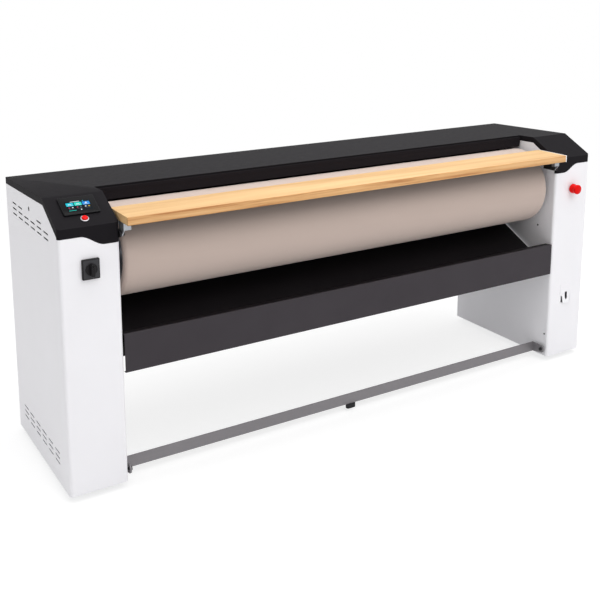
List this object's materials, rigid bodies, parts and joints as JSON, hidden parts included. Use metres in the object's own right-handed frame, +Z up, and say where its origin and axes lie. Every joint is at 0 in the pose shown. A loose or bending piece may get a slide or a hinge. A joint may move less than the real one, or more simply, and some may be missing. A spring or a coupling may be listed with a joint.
{
  "type": "flatwork ironer",
  "caption": "Floor-standing roll ironer for table and bed linen, with a padded roll, heated bed, feed board, linen tray and foot bar.",
  "frame": {"origin": "on the floor, at the middle of the length and depth of the machine", "axes": "+X along the roll, to the right of a user who faces the machine; +Y from the user to the back; +Z up"},
  "size_m": [2.58, 0.715, 1.084],
  "materials": {
    "white_paint": "semi-gloss powder coat",
    "black_paint": "fine textured powder coat",
    "tray_paint": "satin powder coat",
    "grey_steel": "satin",
    "bright_steel": "ground",
    "zinc": "zinc plated",
    "cast_aluminium": "as cast",
    "polished_aluminium": "polished",
    "cast_iron": "oiled",
    "motor_paint": "satin",
    "black_oxide": "blackened",
    "black_plastic": "fine texture",
    "screen_plastic": "gloss front",
    "red_plastic": "gloss",
    "beech": "clear lacquer",
    "roll_cloth": "woven cover",
    "felt": "needle felt",
    "rubber": "matt",
    "cabinet": "satin"
  },
  "bodies": {
    "frame": {"left_front_panel": "white_paint", "right_front_panel": "white_paint", "left_outer_panel": "white_paint", "right_outer_panel": "white_paint", "left_inner_plate": "white_paint", "right_inner_plate": "white_paint", "left_rear_cover": "white_paint", "right_rear_cover": "white_paint", "left_base": "zinc", "right_base": "zinc", "left_front_foot": "grey_steel", "right_front_foot": "grey_steel", "left_rear_foot": "grey_steel", "right_rear_foot": "grey_steel", "upper_rear_beam": "grey_steel", "lower_rear_beam": "grey_steel", "rear_panel": "white_paint", "hood": "black_paint", "touchscreen": "screen_plastic", "stop_bezel": "bright_steel", "switch_plate": "black_plastic", "left_bearing": "cast_iron", "right_bearing": "cast_iron", "drive_chain": "cast_iron", "gearbox": "cast_aluminium", "drive_motor": "motor_paint", "left_bed_rail": "bright_steel", "right_bed_rail": "bright_steel", "press_motor": "motor_paint", "electrical_box": "cabinet", "left_board_hinge": "black_oxide", "right_board_hinge": "black_oxide", "linen_tray": "tray_paint", "left_pedal_pivot": "black_oxide", "right_pedal_pivot": "black_oxide", "cable_gland": "black_plastic"},
    "roll": {"roll_cloth": "roll_cloth", "roll_padding": "felt", "roll_tube": "grey_steel", "left_roll_end": "bright_steel", "right_roll_end": "bright_steel", "roll_sprocket": "cast_iron"},
    "chain_drive": {"drive_sprocket": "cast_iron"},
    "heated_bed": {"bed_shoe": "polished_aluminium", "heating_element": "bright_steel", "bed_cover": "zinc", "left_bed_carrier": "zinc", "right_bed_carrier": "zinc"},
    "bed_press": {"press_shaft": "bright_steel"},
    "board": {"feed_board": "beech", "left_board_bracket": "zinc", "right_board_bracket": "zinc"},
    "guard": {"finger_guard": "black_paint"},
    "pedal": {"pedal_bar": "grey_steel", "pedal_bumper": "rubber"},
    "main_switch": {"switch_knob": "black_plastic"},
    "stop_key": {"stop_button": "red_plastic"},
    "emergency_stop": {"estop_stem": "black_plastic"},
    "emergency_stop_head": {"estop_head": "red_plastic"},
    "flap": {"access_flap": "white_paint"}
  },
  "joints": [
    {"name": "roll_turn", "type": "hinge", "parent": "frame", "child": "roll", "pos_m": [0, -0.0925, 0.85], "axis": [-1, 0, 0], "continuous": true},
    {"name": "drive_turn", "type": "hinge", "parent": "frame", "child": "chain_drive", "pos_m": [1.114, -0.0925, 0.374], "axis": [-1, 0, 0], "continuous": true},
    {"name": "bed_close", "type": "slide", "parent": "frame", "child": "heated_bed", "axis": [0, -1, 0], "range_m": [0, 0.012]},
    {"name": "press_turn", "type": "hinge", "parent": "frame", "child": "bed_press", "pos_m": [0, 0.2313, 0.85], "axis": [1, 0, 0], "range_deg": [0, 90]},
    {"name": "board_tilt", "type": "hinge", "parent": "frame", "child": "board", "pos_m": [0, -0.2875, 0.959], "axis": [1, 0, 0], "range_deg": [0, 80]},
    {"name": "guard_swing", "type": "hinge", "parent": "frame", "child": "guard", "pos_m": [0, -0.053, 1.064], "axis": [1, 0, 0], "range_deg": [0, 10]},
    {"name": "pedal_press", "type": "hinge", "parent": "frame", "child": "pedal", "pos_m": [0, -0.2685, 0.059], "axis": [1, 0, 0], "range_deg": [-10, 0], "stiffness_Nm_per_rad": 30, "springref_deg": 9.74},
    {"name": "main_switch_turn", "type": "hinge", "parent": "frame", "child": "main_switch", "pos_m": [-1.181, -0.3051, 0.854], "axis": [0, 1, 0], "range_deg": [0, 90]},
    {"name": "stop_press", "type": "slide", "parent": "frame", "child": "stop_key", "axis": [0, 0.4563, -0.8898], "range_m": [0, 0.003], "stiffness_N_per_m": 300, "springref_m": -0.004},
    {"name": "emergency_stop_press", "type": "slide", "parent": "frame", "child": "emergency_stop", "axis": [0, 1, 0], "range_m": [0, 0.005]},
    {"name": "emergency_stop_twist", "type": "hinge", "parent": "emergency_stop", "child": "emergency_stop_head", "pos_m": [1.181, -0.2985, 0.852], "axis": [0, 1, 0], "range_deg": [0, 30], "stiffness_Nm_per_rad": 0.05, "springref_deg": -17.19},
    {"name": "flap_swing", "type": "hinge", "parent": "frame", "child": "flap", "pos_m": [1.181, -0.2928, 0.38], "axis": [-1, 0, 0], "range_deg": [0, 80]}
  ],
  "couplings": [
    {"joint": "drive_turn", "follows": "roll_turn", "ratio": 2},
    {"joint": "press_turn", "follows": "bed_close", "rad_per_m": 130.8}
  ]
}
